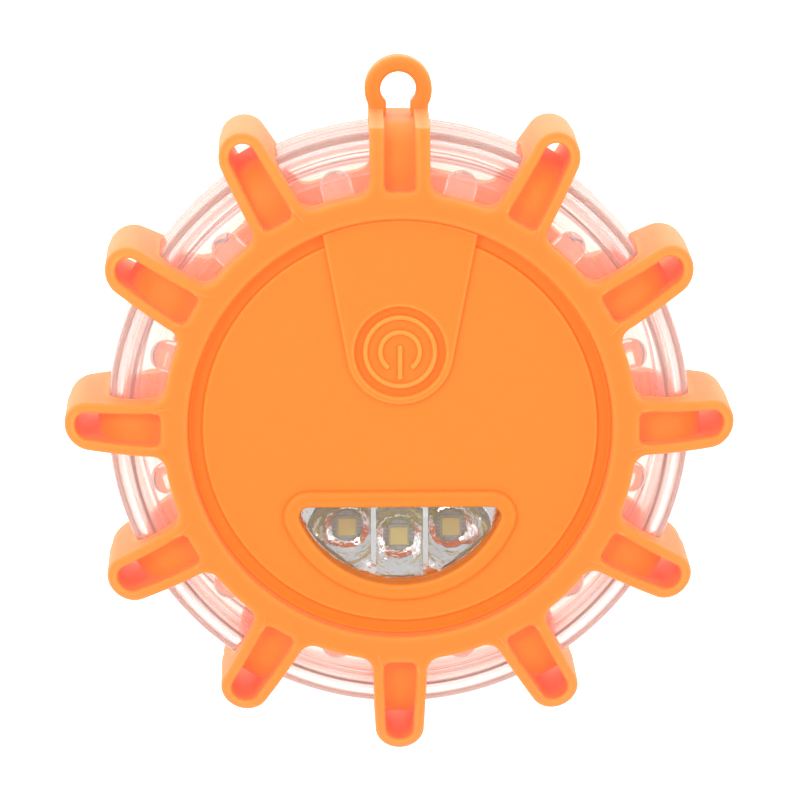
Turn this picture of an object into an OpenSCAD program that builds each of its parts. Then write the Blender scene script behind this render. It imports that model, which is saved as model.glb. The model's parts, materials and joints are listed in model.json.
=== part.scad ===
// Disc-shaped LED safety flare: a clear two-part puck with twelve outward-facing LEDs and a
// three-LED work light, held in a rubber bumper whose twelve hollow arms wrap the clear rim.
// The flare lies on its back. Origin: centre of the magnet's outer face, on the resting plane.
// +Z points out of the front face, +Y points to the hanging loop.

/* [Overall] */
// Diameter across the tips of the bumper's arms
overall_d = 104; // [98:0.1:125]
// Thickness from the resting plane to the crest of the front ring
thickness = 33; // [33:0.1:42]

/* [Clear shell] */
// Diameter of the clear body at its rim
shell_d = 90.6; // [90:0.1:96]
// Wall of both clear shells
shell_wall = 2; // [1.6:0.1:2.4]
// Radius of the rounded shoulder that joins the flat land to the rim
shoulder_r = 5.8; // [4.5:0.1:7]
// Depth of the flat land below the crest of the bumper's ring
land_depth = 5; // [4.5:0.1:6]

/* [Bumper] */
// Number of arms round the bumper
arm_count = 12; // [8:1:12]
// Width of an arm where it leaves the ring
arm_w = 8.3; // [6.9:0.1:10]
// Wall of an arm round its slot
arm_wall = 1.65; // [1.3:0.05:2]
// Width of the wider arm that carries the hanging loop
loop_arm_w = 9.3; // [8.6:0.1:10]
// Inner diameter of the front and rear rings
ring_inner_d = 65.6; // [65:0.1:67]
// Outer diameter of the front and rear rings
ring_outer_d = 73.4; // [71:0.1:76]
// Thickness of the strap that hugs the clear shell inside each arm
strap_t = 1.5; // [1.2:0.1:1.8]
// Diameter of the hole in the hanging loop
loop_hole_d = 5.54; // [4.6:0.02:6.7]
// Thickness of the hanging loop
loop_t = 4; // [3:0.1:5]

/* [Face] */
// Thickness of the face cover above the clear land
cover_t = 3.2; // [2.8:0.1:3.8]
// Height of the tongue pad above the face
tongue_rise = 0.7; // [0.5:0.1:1]
// Height of the work light's bezel above the face
bezel_rise = 0.9; // [0.6:0.1:1.2]
// Diameter of the recess round the power button
button_recess_d = 14.1; // [11.7:0.1:15]
// Travel of the power button
button_travel = 0.5; // [0.4:0.05:0.6]
// Radius of the long curved edge of the work light's window
window_r = 16.9; // [15:0.1:18]

/* [Electronics] */
// Diameter of a side LED's body
side_led_d = 5; // [4.2:0.1:6]
// Thickness of the circuit board
board_t = 1.6; // [1.3:0.1:2]
// Diameter of an AAA cell
cell_d = 10.5; // [10:0.1:10.7]
// Length of an AAA cell with its positive cap
cell_l = 44.5; // [43:0.1:44.5]
// Diameter of the magnet's steel cup
magnet_cup_d = 25; // [21:0.5:27]
// Height of the magnet's steel cup
magnet_cup_h = 4; // [3.4:0.1:4.2]

/* [Hidden] */
$fn = 96;
overall_r = overall_d / 2;
mid_z = thickness / 2;

// clear shells
shell_r = shell_d / 2;
land_r = shell_r - shoulder_r;
land_step = 0.5;           // the flat land lies this far below the shoulder's top
land_z = thickness - land_depth;
shoulder_z = land_z + land_step - shoulder_r;   // centre of the shoulder's arc
plate_z = land_z - shell_wall;                  // inner face of the front plate
lip_h = 1.2;
lip_gap = 0.1;

// bumper
fit = 0.05;                // gap between the rubber and the shells
ring_inner_r = ring_inner_d / 2;
ring_outer_r = ring_outer_d / 2;
root_fillet = 2.4;
tip_taper = 0.35;          // an arm loses this much half-width from root to tip
tip_r = arm_w / 2 - tip_taper;
slot_tip_r = tip_r - arm_wall;
slot_root_w = arm_w - 2 * arm_wall;
slot_corner_r = 1;
slot_root_y = ring_outer_r + 0.3;
tip_y = overall_r - tip_r;
crest_r = ring_outer_r + 1.3;   // the front edge curves back from here
slope_r = ring_outer_r + 10;    // and steepens here
slope_rise = 2.4;               // drop at slope_r
slope_drop = 6.6;               // drop at the tips
part_z = 0.37 * thickness;      // moulding line: the arms step in behind it
part_step = 0.25;

// hanging loop
loop_wall = 2.5;
loop_r = loop_hole_d / 2 + loop_wall;
loop_y = overall_r - 1.15;
loop_neck_w = loop_hole_d * 0.68;
loop_arm_end = loop_y - loop_r + 2.4;
loop_slot_w = loop_arm_w - 2 * arm_wall - 1.2;

// face cover
cover_r = ring_inner_r - 0.2;
face_z = land_z + cover_t;
channel_w = 2;
channel_depth = 0.8;
cover_skin = 2;
tongue_z = face_z + tongue_rise;
button_y = 12;
tongue_end_r = button_recess_d / 2 + 1.25;
tongue_top_y = 30;
tongue_top_w = 23.8;
bezel_w = 2.6;
window_top_y = -12.5;
window_low_y = -24.7;
window_corner_r = 1.5;
window_centre_y = window_low_y + window_r;
corner_y = window_top_y - window_corner_r;
corner_x = sqrt(pow(window_r - window_corner_r, 2) - pow(corner_y - window_centre_y, 2));
corner_a = atan2(corner_y - window_centre_y, corner_x);

// power button
button_r = button_recess_d / 2 - 1.3;
flange_r = button_recess_d / 2 + 0.55;
flange_top_z = tongue_z - 1;
flange_t = 1;
lip_clear = 0.05;
button_face_z = tongue_z - 0.7;
mark_w = 0.72;
mark_r = 3.05;
stem_r = 2;
stem_hole_r = 2.6;
plunger_play = button_travel / 2;

// battery bay
cell_gap = 0.3;
cell_z0 = magnet_cup_h + 1.2;
cell_z = cell_z0 + cell_d / 2;
cell_pitch = cell_d + cell_gap;
contact_t = 0.3;
spring_l = 3.1;
bay_wall = 1.2;
bay_half_l = (cell_l + spring_l) / 2 + contact_t;    // inner half length
bay_half_w = 1.5 * cell_pitch - cell_gap / 2 + 0.1;
cell_shift = spring_l / 2;
// the bay's corners are rounded off to this radius, just clear of the outer cells' ends
bay_clip_r = sqrt(pow(cell_l / 2 + cell_shift, 2) + pow(cell_pitch + cell_d / 2, 2)) + 0.1;
bay_roof_z = cell_z0 + cell_d + 0.2;
bay_roof_t = 1.2;
bay_top = bay_roof_z + bay_roof_t;

// circuit board and what stands on it
board_z = bay_top + 1.8;
board_top = board_z + board_t;
led_z = board_top + 0.5;
led_tip_r = shell_r - shell_wall - 3.3;
led_len = 8.6;
led_flange_t = 1;
led_flange_r = side_led_d / 2 + 0.4;
led_base_r = led_tip_r - led_len;
lead_w = 0.5;
lead_pitch = 2.54;
lead_r = led_base_r - 2.4;
board_r = led_base_r - 1.1;
side_led_count = arm_count;
switch_w = 6;
switch_h = 3.5;
plunger_r = 1.75;
plunger_top = plate_z + 0.9;
stem_z = plunger_top + plunger_play;
work_led_pitch = 8.1;
work_led_y = [-17.5, -19, -17.5];
board_screw_r = 25;
board_screw_angles = [90, 195, 345];

// battery door and its screws
door_r = ring_inner_r - 0.3;
door_z = 0.8;
door_t = 2.2;
rear_land_z = land_depth;
rear_plate_z = rear_land_z + shell_wall;
seal_clear = 0.4;
seal_w = 1.3;
cup_wall = 1.3;
cup_floor = 1.2;
cup_r = magnet_cup_d / 2;
cup_gap = 0.1;
boss_wall = 1.1;
screw_xy = [[12, 23.2], [-12, 23.2], [-12, -23.2], [12, -23.2]];
door_screw_r = 1.3;
screw_head_r = 2.5;
screw_head_h = 1.5;
screw_head_z = door_z + 0.15;
bay_screw_y = 20.6;
bay_ear_z = rear_plate_z + 5.5;
bay_ear_t = 1.5;

// small screws and their bosses
pilot_r = 1.05;
small_screw_r = 1;
small_head_r = 2.1;
small_head_h = 1.3;
small_recess_h = 0.8;
small_recess_l = 1.1;
recess_w = 0.5;
board_boss_r = 2.6;
bay_boss_r = 2.4;
door_boss_r = 2.8;
door_boss_h = 8;
door_screw_l = 6;          // how far a door screw passes the rear plate
door_recess_h = 0.9;
door_recess_l = 1.5;

// parts on the board: [width, depth, height] or radius and height
lead_hole_r = 0.5;
board_hole_r = 1.2;
led_case = [3.2, 3.2, 0.8];
led_gel = [2.6, 2.6, 0.9];
bowl_foot_r = 2.1;
bowl_top_r = 6.2;
bowl_hole_r = 2.45;
divider_t = 0.8;
plunger_base_z = board_top + 1.5;
chip_xy = [-14, 6];
chip_body = [3.9, 4.9, 1.45];
chip_body_z = 0.15;
chip_leg = [1.2, 0.4, 0.7];
chip_leg_x = 2.4;
chip_leg_pitch = 1.27;
resistor = [2, 1.25, 0.55];
resistor_xy = [12, 16];
resistor_pitch = 4;
can_xy = [-17, 14.5];
can_base = [4.4, 4.4, 0.8];
can_r = 2;
can_top = 4.2;

// contacts, springs and wires
ear_half_w = 3.4;
ear_reach = 3;
tag_slot = [1.2, 2.8];
nub_d = 3.8;
nub_l = 1;
contact_half_w = 3.8;
contact_h = 8;
tag_w = 2;
tag_rise = 1.2;
spring_r0 = 3.7;
spring_r1 = 2.2;
spring_wire_r = 0.3;
spring_turns = 2.5;
wire_r = 0.5;
wire_up_x = 15;

// ---- helpers ----

module slab(z0, z1) {
    translate([0, 0, z0]) linear_extrude(height = z1 - z0) children();
}

module drum(r, z0, z1) {
    translate([0, 0, z0]) cylinder(r = r, h = z1 - z0);
}

// ---- clear shells ----

// Half section of the puck's front half: outline of radius shell_r, moved out by grow
module puck_section(grow, land_top) {
    square_to = land_top - mid_z;
    translate([0, mid_z]) square([land_r, square_to]);
    translate([0, mid_z]) square([shell_r + grow, shoulder_z - mid_z]);
    intersection() {
        translate([land_r, shoulder_z]) circle(r = shoulder_r + grow);
        translate([land_r - 0.01, shoulder_z - 0.01]) square(shoulder_r + grow + 1);
    }
}

module half_shell() {
    rotate_extrude() difference() {
        puck_section(0, land_z);
        puck_section(-shell_wall, plate_z);
    }
}

module to_rear() {
    translate([0, 0, thickness]) mirror([0, 0, 1]) children();
}

// Ring round the rim's inner edge, from z0 to z1
module rim_ring(r_in, r_out, z0, z1) {
    translate([0, 0, z0]) rotate_extrude()
        translate([r_in, 0]) square([r_out - r_in, z1 - z0]);
}

module board_boss(a) {
    rotate(a) translate([board_screw_r, 0, 0]) difference() {
        drum(board_boss_r, board_top, plate_z + 0.5);
        drum(pilot_r, board_top - 1, plate_z - 0.5);
    }
}

module front_shell() {
    color([0.96, 0.96, 0.97, 0.35]) {
        difference() {
            union() {
                half_shell();
                rim_ring(shell_r - shell_wall, shell_r - shell_wall / 2 - lip_gap,
                         mid_z - lip_h, mid_z + 1);
            }
            translate([0, button_y, 0]) drum(stem_hole_r, plate_z - 1, land_z + 1);
        }
        for (a = board_screw_angles) board_boss(a);
    }
}

module door_boss(xy) {
    translate([xy[0], xy[1], 0]) drum(door_boss_r, rear_plate_z - 0.5, rear_plate_z + door_boss_h);
}

module bay_boss(side) {
    translate([0, side * bay_screw_y, 0]) drum(bay_boss_r, rear_plate_z - 0.5, bay_ear_z);
}

module rear_shell() {
    color([0.96, 0.96, 0.97, 0.35]) difference() {
        union() {
            to_rear() half_shell();
            for (xy = screw_xy) door_boss(xy);
            for (side = [-1, 1]) bay_boss(side);
        }
        rim_ring(shell_r - shell_wall - 1, shell_r - shell_wall / 2,
                 mid_z - lip_h - lip_gap, mid_z + 1);
        slab(rear_land_z - 1, rear_plate_z + 1) bay_outline(bay_wall + 0.2);
        for (xy = screw_xy) translate([xy[0], xy[1], 0])
            drum(door_screw_r + 0.05, rear_land_z - 1, rear_plate_z + door_boss_h - 1);
        for (side = [-1, 1]) translate([0, side * bay_screw_y, 0])
            drum(pilot_r, rear_plate_z + 1, bay_ear_z + 1);
    }
}

// ---- rubber bumper ----

// Concave fillets that join an arm of width w to the ring
module root_fillets(w) {
    xc = w / 2 + root_fillet;
    yc = sqrt(pow(ring_outer_r + root_fillet, 2) - xc * xc);
    foot = (ring_outer_r - 0.5) / (ring_outer_r + root_fillet);
    for (flip = [0, 1]) mirror([flip, 0]) difference() {
        polygon([[w / 2 - 0.5, yc], [xc, yc], [foot * xc, foot * yc], [w / 2 - 0.5, foot * yc - 1]]);
        translate([xc, yc]) circle(r = root_fillet);
    }
}

// Arm with parallel root, tapering to a full-round tip
module arm_plan(w, r_tip) {
    taper_y = ring_outer_r + root_fillet;
    root_fillets(w);
    polygon([[-w / 2, ring_inner_r + 1], [w / 2, ring_inner_r + 1], [w / 2, taper_y],
             [r_tip, tip_y], [-r_tip, tip_y], [-w / 2, taper_y]]);
    translate([0, tip_y]) circle(r = r_tip);
}

// The loop's arm has no tip of its own: it stops square where the loop takes over
module loop_arm_plan(w) {
    root_fillets(w);
    translate([-w / 2, ring_inner_r + 1]) square([w, loop_arm_end - ring_inner_r - 1]);
}

module bumper_plan(inset) {
    circle(r = ring_outer_r);
    loop_arm_plan(loop_arm_w - 2 * inset);
    for (i = [1:arm_count - 1]) rotate(i * 360 / arm_count)
        arm_plan(arm_w - 2 * inset, tip_r - inset);
}

// Half section that the arms are trimmed to: flat crest, then two slopes back to the tips
module bumper_envelope() {
    rotate_extrude() polygon([
        [0, 0], [crest_r, 0], [slope_r, slope_rise], [overall_r + 1, slope_drop],
        [overall_r + 1, thickness - slope_drop], [slope_r, thickness - slope_rise],
        [crest_r, thickness], [0, thickness]]);
}

// A solid with the clear puck's outline, both halves, grown by the given amount
module grown_puck(grow, land_top) {
    rotate_extrude() puck_section(grow, land_top);
    to_rear() rotate_extrude() puck_section(grow, land_top);
}

// Slot of width w at its root, with a full-round outer end
module slot_plan(w, r_end, y_end) {
    corner_y0 = slot_root_y + slot_corner_r;
    translate([slot_corner_r - w / 2, slot_root_y]) square([w - 2 * slot_corner_r, 2 * slot_corner_r]);
    for (side = [-1, 1]) translate([side * (w / 2 - slot_corner_r), corner_y0])
        circle(r = slot_corner_r);
    polygon([[-w / 2, corner_y0], [w / 2, corner_y0], [r_end, y_end], [-r_end, y_end]]);
    translate([0, y_end]) circle(r = r_end);
}

module arm_slots() {
    slab(-1, thickness + 1) {
        for (i = [1:arm_count - 1]) rotate(i * 360 / arm_count)
            slot_plan(slot_root_w, slot_tip_r, tip_y);
        slot_plan(loop_slot_w, loop_slot_w / 2, loop_arm_end);
    }
}

// Slanted cuts that lead the loop's arm down to the loop at half depth
module loop_arm_trim() {
    for (flip = [0, 1])
        translate([0, 0, flip * thickness]) mirror([0, 0, flip])
            rotate([90, 0, 90]) translate([0, 0, -loop_arm_w])
                linear_extrude(height = 2 * loop_arm_w)
                    polygon([[loop_arm_end - 1.3, thickness + 1],
                             [loop_arm_end - 1.3, thickness - slope_drop],
                             [loop_arm_end, mid_z + loop_t / 2],
                             [loop_arm_end + 3, mid_z + loop_t / 2],
                             [loop_arm_end + 3, thickness + 1]]);
}

module rubber_bumper() {
    color("#ff8a2b") difference() {
        union() {
            difference() {
                intersection() {
                    union() {
                        slab(0, part_z) bumper_plan(part_step);
                        slab(part_z, thickness) bumper_plan(0);
                    }
                    bumper_envelope();
                }
                difference() {
                    arm_slots();
                    grown_puck(strap_t, land_z + strap_t);
                }
                loop_arm_trim();
            }
            translate([0, loop_y, 0]) drum(loop_r, mid_z - loop_t / 2, mid_z + loop_t / 2);
        }
        difference() {
            slab(mid_z - loop_t, mid_z + loop_t)
                translate([-loop_neck_w / 2, loop_y - 2 * loop_r])
                    square([loop_neck_w, 2 * loop_r]);
            grown_puck(strap_t, land_z + strap_t);
        }
        translate([0, loop_y, 0]) drum(loop_hole_d / 2, -1, thickness + 1);
        grown_puck(fit, land_z);
        drum(ring_inner_r, -1, thickness + 1);
    }
}

// ---- face cover and power button ----

// Plan of the work light's window, moved out by grow
module window_plan(grow) {
    centre = [0, window_centre_y];
    far = 2 * window_r;
    intersection() {
        translate(centre) circle(r = window_r + grow);
        polygon([[-corner_x, corner_y], [corner_x, corner_y],
                 centre + far * [cos(corner_a), sin(corner_a)], [far, -2 * far],
                 [-far, -2 * far], centre + far * [-cos(corner_a), sin(corner_a)]]);
    }
    for (side = [-1, 1]) translate([side * corner_x, corner_y])
        circle(r = window_corner_r + grow);
    translate([-corner_x, corner_y]) square([2 * corner_x, window_corner_r + grow]);
}

// Tapering pad that runs from the ring down to the button
module tongue_plan() {
    translate([0, button_y]) circle(r = tongue_end_r);
    polygon([[-tongue_end_r, button_y - 0.8], [tongue_end_r, button_y - 0.8],
             [tongue_top_w / 2, tongue_top_y], [tongue_top_w / 2, cover_r + 1],
             [-tongue_top_w / 2, cover_r + 1], [-tongue_top_w / 2, tongue_top_y]]);
}

module face_cover() {
    color("#ff8d30") difference() {
        union() {
            difference() {
                drum(cover_r, land_z, face_z);
                rim_ring(cover_r - channel_w, cover_r + 1, face_z - channel_depth, face_z + 1);
            }
            intersection() {
                slab(face_z - channel_depth - 0.3, tongue_z) tongue_plan();
                drum(cover_r, 0, thickness);
            }
            slab(face_z - 0.5, face_z + bezel_rise) window_plan(bezel_w);
        }
        difference() {
            drum(cover_r - channel_w, land_z - 1, face_z - cover_skin);
            slab(0, thickness) window_plan(1.6);
            translate([0, button_y, 0]) drum(flange_r + 1.4, 0, thickness);
        }
        slab(0, thickness + 1) window_plan(0);
        translate([0, button_y, 0]) {
            drum(button_recess_d / 2, land_z - 1, thickness + 1);
            drum(flange_r + 0.3, land_z - 1, flange_top_z + lip_clear);
        }
    }
}

// Broken ring and bar, upside down as the flare hangs
module power_mark() {
    difference() {
        circle(r = mark_r + mark_w / 2);
        circle(r = mark_r - mark_w / 2);
        polygon([[0, 0], [3.4, -5], [-3.4, -5]]);
    }
    translate([-mark_w / 2, -4.35]) square([mark_w, 5.35]);
}

module power_button() {
    color("#fb8427") translate([0, button_y, 0]) {
        drum(flange_r, flange_top_z - flange_t, flange_top_z);
        drum(button_r, flange_top_z - 0.5, button_face_z);
        rim_ring(button_r - 0.75, button_r, button_face_z - 0.2, tongue_z);
        slab(button_face_z - 0.2, tongue_z - 0.15) power_mark();
        drum(stem_r, stem_z, flange_top_z - 0.5);
    }
}

// ---- circuit board ----

module lead_pair_holes(r) {
    for (i = [1:side_led_count]) rotate((i - 0.5) * 360 / side_led_count + 90)
        for (side = [-1, 1]) translate([lead_r, side * lead_pitch / 2, 0])
            drum(r, board_z - 1, board_top + 1);
}

module main_board() {
    color("#f4f2ea") difference() {
        drum(board_r, board_z, board_top);
        lead_pair_holes(lead_hole_r);
        for (a = board_screw_angles) rotate(a) translate([board_screw_r, 0, 0])
            drum(board_hole_r, board_z - 1, board_top + 1);
    }
}

// One side LED, lying beyond the board's edge with its dome outwards and its leads bent down
// into the board
module side_led(i) {
    color([1, 0.45, 0.42, 0.7]) rotate((i - 0.5) * 360 / side_led_count + 90)
        translate([led_base_r, 0, led_z]) {
            rotate([0, 90, 0]) {
                cylinder(r = led_flange_r, h = led_flange_t);
                cylinder(r = side_led_d / 2, h = led_len - side_led_d / 2);
                translate([0, 0, led_len - side_led_d / 2]) sphere(r = side_led_d / 2);
            }
            for (side = [-1, 1]) translate([0, side * lead_pitch / 2, 0]) {
                translate([lead_r - led_base_r - lead_w / 2, -lead_w / 2, -lead_w / 2])
                    cube([led_base_r - lead_r + lead_w / 2 + 0.3, lead_w, lead_w]);
                translate([lead_r - led_base_r - lead_w / 2, -lead_w / 2, board_z - 0.8 - led_z])
                    cube([lead_w, lead_w, led_z - board_z + 0.8 + lead_w / 2]);
            }
        }
}

module work_led(i) {
    color("#d8c76a") translate([(i - 2) * work_led_pitch, work_led_y[i - 1], board_top]) {
        translate([-led_case[0] / 2, -led_case[1] / 2, 0]) cube(led_case);
        translate([-led_gel[0] / 2, -led_gel[1] / 2, led_case[2] - 0.1]) cube(led_gel);
    }
}

// Plated block with one bowl for each work LED, parted by two thin walls
module work_light_reflector() {
    foot = board_top + 0.2;
    top = plate_z - 0.1;
    bay = work_led_pitch - divider_t;
    color("#dfe2e6") difference() {
        slab(foot, top) window_plan(0.8);
        for (i = [0:2]) translate([(i - 1) * work_led_pitch, work_led_y[i], 0]) {
            intersection() {
                translate([0, 0, foot + 0.4]) cylinder(r1 = bowl_foot_r, r2 = bowl_top_r, h = top - foot);
                translate([i == 0 ? -20 : -bay / 2, -20, 0])
                    cube([i == 1 ? bay : 20 + bay / 2, 40, thickness]);
                translate([(1 - i) * work_led_pitch, -work_led_y[i], 0])
                    slab(0, thickness) window_plan(0);
            }
            drum(bowl_hole_r, foot - 1, foot + 0.8);
        }
    }
}

module tact_switch() {
    color("#26282b") translate([0, button_y, 0]) difference() {
        translate([-switch_w / 2, -switch_w / 2, board_top]) cube([switch_w, switch_w, switch_h]);
        drum(plunger_r + 0.1, plunger_base_z, board_top + switch_h + 1);
    }
}

module switch_plunger() {
    color("#e8e4da") translate([0, button_y, 0])
        drum(plunger_r, plunger_base_z + plunger_play, plunger_top);
}

module controller_chip() {
    color("#1d1e20") translate([chip_xy[0], chip_xy[1], board_top]) {
        translate([-chip_body[0] / 2, -chip_body[1] / 2, chip_body_z]) cube(chip_body);
        for (k = [-1.5:1:1.5]) for (side = [-1, 1])
            translate([side * chip_leg_x - chip_leg[0] / 2, k * chip_leg_pitch - chip_leg[1] / 2, 0])
                cube(chip_leg);
    }
}

module chip_resistors() {
    color("#2b2b2e") for (k = [0:5])
        translate([resistor_xy[0] + (k % 2) * resistor_pitch,
                   resistor_xy[1] - floor(k / 2) * resistor_pitch, board_top])
            cube(resistor);
}

module bulk_capacitor() {
    color("#b9bcc0") translate([can_xy[0], can_xy[1], 0]) {
        translate([-can_base[0] / 2, -can_base[1] / 2, board_top]) cube(can_base);
        drum(can_r, board_top + can_base[2] - 0.1, board_top + can_top);
    }
}

module board_screws() {
    color("#c9ccd0") for (a = board_screw_angles) rotate(a)
        translate([board_screw_r, 0, 0]) difference() {
            union() {
                drum(small_head_r, board_z - small_head_h, board_z);
                drum(small_screw_r, board_z - 0.2, board_top + 4.5);
            }
            cross_recess(board_z - small_head_h, small_recess_h, small_recess_l);
        }
}

// Cross-shaped driver recess, cut upwards from z
module cross_recess(z, depth, half_l) {
    for (a = [0, 90]) rotate(a) translate([-half_l, -recess_w / 2, z - 1])
        cube([2 * half_l, recess_w, depth + 1]);
}

// ---- battery bay ----

// Plan of the bay, its walls moved out by grow from the inner faces
module bay_outline(grow) {
    intersection() {
        translate([-bay_half_l - grow, -bay_half_w - grow])
            square([2 * (bay_half_l + grow), 2 * (bay_half_w + grow)]);
        circle(r = bay_clip_r + grow);
    }
}

module battery_bay() {
    color("#f1efe8") difference() {
        union() {
            slab(rear_land_z - 0.2, bay_top) bay_outline(bay_wall);
            for (side = [-1, 1]) intersection() {
                translate([-ear_half_w, min(side * bay_half_w, side * (bay_screw_y + ear_reach)),
                           bay_ear_z])
                    cube([2 * ear_half_w, bay_screw_y + ear_reach - bay_half_w, bay_ear_t]);
                drum(bay_screw_y + ear_reach, 0, thickness);
            }
        }
        slab(0, bay_roof_z) bay_outline(0);
        for (side = [-1, 1]) {
            translate([0, side * bay_screw_y, 0]) drum(1.25, bay_ear_z - 1, bay_ear_z + 3);
            translate([side * (bay_half_l - 0.5) - tag_slot[0] / 2,
                       side * cell_pitch - tag_slot[1] / 2, bay_roof_z - 1])
                cube([tag_slot[0], tag_slot[1], bay_roof_t + 3.8]);
        }
    }
}

// Cells lie along X; the middle one points the other way
function cell_dir(i) = i == 2 ? -1 : 1;

module battery(i) {
    color("#3d6ea5") translate([cell_dir(i) * cell_shift, (2 - i) * cell_pitch, cell_z])
        rotate([0, cell_dir(i) * 90, 0]) {
            translate([0, 0, -cell_l / 2]) cylinder(d = cell_d, h = cell_l - nub_l);
            translate([0, 0, cell_l / 2 - nub_l - 0.2]) cylinder(d = nub_d, h = nub_l + 0.2);
        }
}

module contact_plate(side, y0, y1) {
    translate([side > 0 ? bay_half_l - contact_t : -bay_half_l, y0, cell_z - contact_h / 2])
        cube([contact_t, y1 - y0, contact_h]);
}

// Solder tag that passes up through the bay's roof
module contact_tag(side) {
    translate([side > 0 ? bay_half_l - contact_t : -bay_half_l, side * cell_pitch - tag_w / 2,
               cell_z])
        cube([contact_t, tag_w, bay_top + tag_rise - cell_z]);
}

module positive_contact() {
    color("#d0d2d4") {
        contact_plate(1, cell_pitch - contact_half_w, cell_pitch + contact_half_w);
        contact_tag(1);
    }
}

module negative_contact() {
    color("#d0d2d4") {
        contact_plate(-1, -cell_pitch - contact_half_w, -cell_pitch + contact_half_w);
        contact_tag(-1);
    }
}

module bridge_contact_left() {
    color("#d0d2d4") contact_plate(-1, -contact_half_w, cell_pitch + contact_half_w);
}

module bridge_contact_right() {
    color("#d0d2d4") contact_plate(1, -cell_pitch - contact_half_w, contact_half_w);
}

// Ring of points round a coil's centre line, at t turns
function coil_ring(t, r, z, wire_r, sides) = [for (k = [0:sides - 1])
    let (a = 360 * t, b = 360 * k / sides, q = r + wire_r * cos(b))
    [q * cos(a), q * sin(a), z + wire_r * sin(b)]];

// Conical coil spring from z = 0 to z = length
module coil_spring(length, r0, r1, wire_r, turns) {
    sides = 6;
    steps = 14 * turns;
    z0 = wire_r + 0.02;
    z1 = length - wire_r - 0.02;
    points = [for (s = [0:steps]) let (u = s / steps)
        each coil_ring(turns * u, r0 + (r1 - r0) * u, z0 + (z1 - z0) * u, wire_r, sides)];
    walls = [for (s = [0:steps - 1]) for (k = [0:sides - 1])
        let (a = s * sides + k, b = s * sides + (k + 1) % sides)
        each [[a, b + sides, b], [a, a + sides, b + sides]]];
    first = [for (k = [0:sides - 1]) k];
    last = [for (k = [sides - 1:-1:0]) steps * sides + k];
    polyhedron(points = points, faces = concat([first], walls, [last]));
}

module contact_springs() {
    color("#dadcde") for (i = [1:3])
        translate([-cell_dir(i) * (bay_half_l - contact_t), (2 - i) * cell_pitch, cell_z])
            rotate([0, cell_dir(i) * 90, 0])
                coil_spring(spring_l, spring_r0, spring_r1, spring_wire_r, spring_turns);
}

// Insulated lead: along X from the solder tag, then up to the board
module lead_wire(side, tint) {
    x_tag = side * (bay_half_l - contact_t - 0.7);
    x_up = side * wire_up_x;
    z_run = bay_top + wire_r + 0.1;
    bend_r = board_z - z_run - 0.05;
    color(tint) translate([0, side * cell_pitch, 0]) {
        translate([x_up + side * bend_r, 0, z_run]) rotate([0, side * 90, 0])
            cylinder(r = wire_r, h = abs(x_tag - x_up) - bend_r);
        translate([x_up + side * bend_r, 0, z_run + bend_r]) mirror([side > 0 ? 1 : 0, 0, 0])
            rotate([90, 0, 0]) rotate_extrude(angle = -90)
                translate([bend_r, 0]) circle(r = wire_r);
    }
}

module bay_screws() {
    color("#c9ccd0") for (side = [-1, 1]) translate([0, side * bay_screw_y, 0]) difference() {
        union() {
            drum(small_screw_r, rear_plate_z + 1.5, bay_ear_z + bay_ear_t + 0.2);
            drum(small_head_r, bay_ear_z + bay_ear_t, bay_ear_z + bay_ear_t + small_head_h);
        }
        translate([0, 0, 2 * (bay_ear_z + bay_ear_t) + small_head_h]) mirror([0, 0, 1])
            cross_recess(bay_ear_z + bay_ear_t, small_recess_h, small_recess_l);
    }
}

// ---- battery door ----

module battery_door() {
    pad_z = rear_land_z - 0.1;
    boss_z = magnet_cup_h + cup_gap;
    color("#ff8a2b") difference() {
        union() {
            drum(door_r, door_z, door_z + door_t);
            drum(cup_r + cup_gap + boss_wall, door_z, boss_z + 0.8);
            for (xy = screw_xy) translate([xy[0], xy[1], 0])
                drum(screw_head_r + 1, door_z, pad_z);
        }
        drum(cup_r + cup_gap, -1, boss_z);
        for (xy = screw_xy) translate([xy[0], xy[1], 0]) {
            drum(screw_head_r + 0.2, -1, screw_head_z + screw_head_h);
            drum(door_screw_r + 0.2, -1, pad_z + 1);
        }
    }
}

// Square-cut silicone ring between the door and the rear shell, round the bay's mouth
module door_seal() {
    color("#3a3a3c") slab(door_z + door_t, rear_land_z) difference() {
        bay_outline(bay_wall + seal_clear + seal_w);
        bay_outline(bay_wall + seal_clear);
    }
}

module door_screw(i) {
    color("#b4b7bb") translate([screw_xy[i - 1][0], screw_xy[i - 1][1], 0]) difference() {
        union() {
            drum(screw_head_r, screw_head_z, screw_head_z + screw_head_h);
            drum(door_screw_r, screw_head_z + screw_head_h - 0.2, rear_plate_z + door_screw_l);
        }
        cross_recess(screw_head_z, door_recess_h, door_recess_l);
    }
}

module magnet_cup() {
    color("#a9acb0") difference() {
        drum(cup_r, 0, magnet_cup_h);
        drum(cup_r - cup_wall, -1, magnet_cup_h - cup_floor);
    }
}

module magnet() {
    color("#8f9397") drum(cup_r - cup_wall - 0.1, 0, magnet_cup_h - cup_floor);
}

// ---- output ----

rubber_bumper();
face_cover();
power_button();
front_shell();
rear_shell();
main_board();
work_light_reflector();
tact_switch();
switch_plunger();
controller_chip();
chip_resistors();
bulk_capacitor();
board_screws();
battery_bay();
positive_contact();
negative_contact();
bridge_contact_left();
bridge_contact_right();
contact_springs();
lead_wire(1, "#c62f28");  // positive_wire
lead_wire(-1, "#242424");  // negative_wire
bay_screws();
battery_door();
door_seal();
magnet();
magnet_cup();
for (i = [1:3]) work_led(i);
for (i = [1:3]) battery(i);
for (i = [1:len(screw_xy)]) door_screw(i);
for (i = [1:side_led_count]) side_led(i);
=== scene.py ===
# LED safety flare: the finished look of every piece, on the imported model's bodies.
import json
import math

import bmesh
import bpy
from mathutils import Matrix, Vector

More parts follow.
